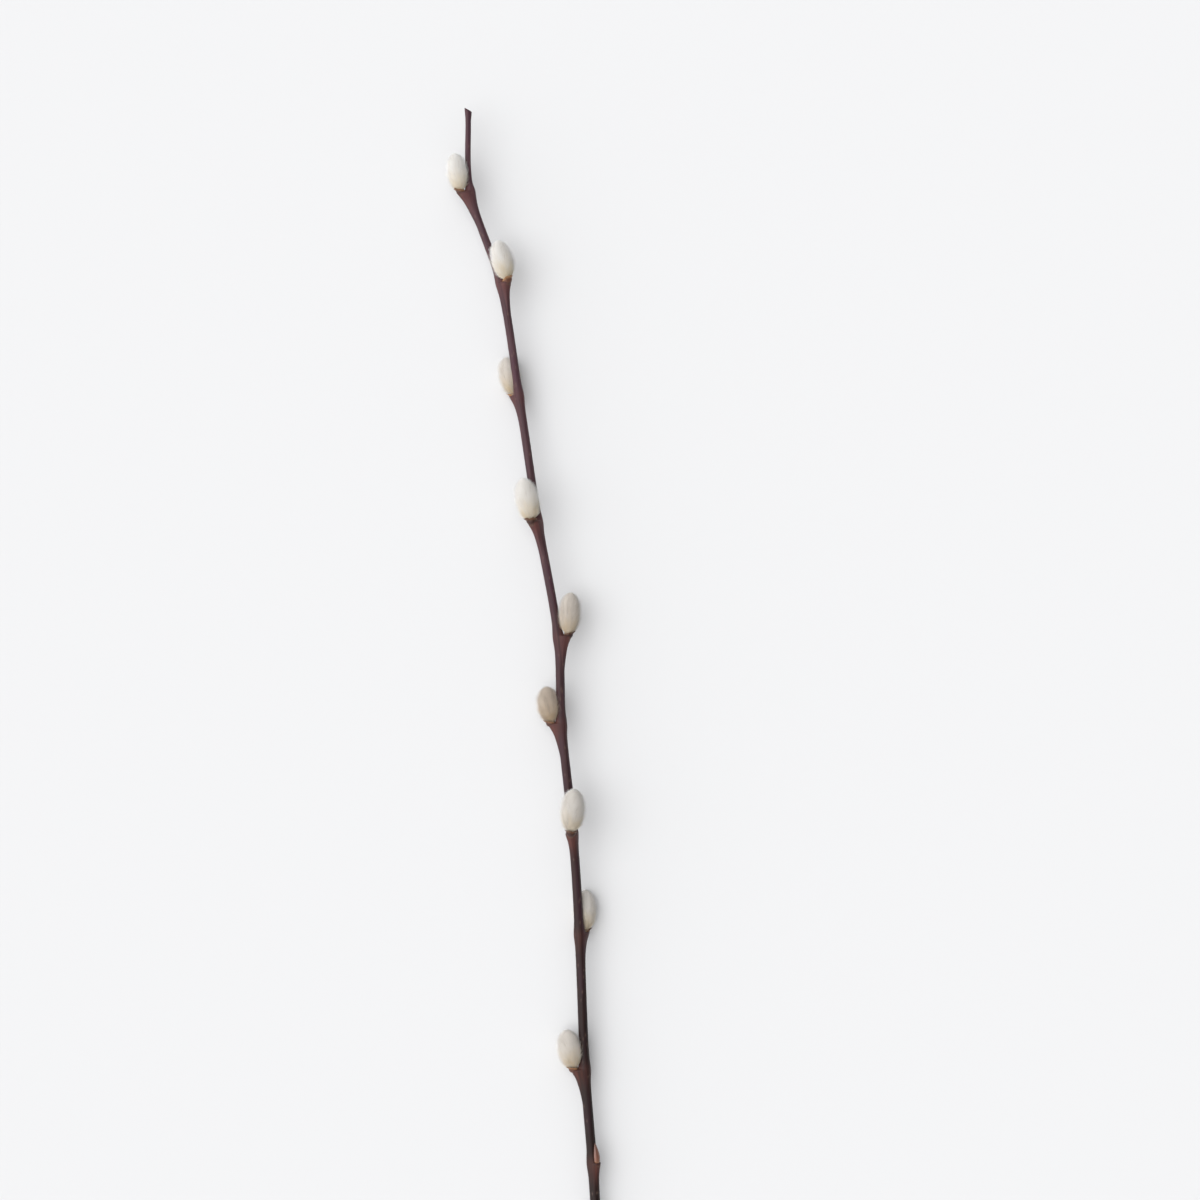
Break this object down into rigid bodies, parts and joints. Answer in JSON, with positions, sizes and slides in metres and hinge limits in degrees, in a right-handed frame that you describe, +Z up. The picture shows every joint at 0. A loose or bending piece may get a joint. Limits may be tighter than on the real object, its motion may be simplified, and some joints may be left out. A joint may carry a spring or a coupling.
{
  "type": "willow twig",
  "caption": "Cut pussy willow twig lying down: a slender purple-brown stem, bent a little at each node, with silky silver-white catkins on its leaf cushions and closed buds near the butt.",
  "frame": {"origin": "middle of the twig's box, on the surface that it lies on", "axes": "+Y along the stem towards its tip, +Z up off the surface, +X to the right seen from above"},
  "size_m": [0.0751, 0.6004, 0.0219],
  "materials": {
    "bark": "smooth satin bark",
    "fur": "silky silver-white fur",
    "husk": "thin dry chestnut scale",
    "bud": "glossy red-brown bud scale"
  },
  "bodies": {
    "root": {"stem": "bark", "catkin_01": "fur", "catkin_02": "fur", "catkin_03": "fur", "catkin_04": "fur", "catkin_05": "fur", "catkin_06": "fur", "catkin_07": "fur", "catkin_08": "fur", "catkin_09": "fur", "bud_scale_01": "husk", "bud_scale_02": "husk", "bud_scale_03": "husk", "bud_scale_04": "husk", "bud_scale_05": "husk", "bud_scale_06": "husk", "bud_scale_07": "husk", "bud_scale_08": "husk", "bud_scale_09": "husk", "bud_01": "bud", "bud_02": "bud", "bud_03": "bud"}
  },
  "joints": []
}
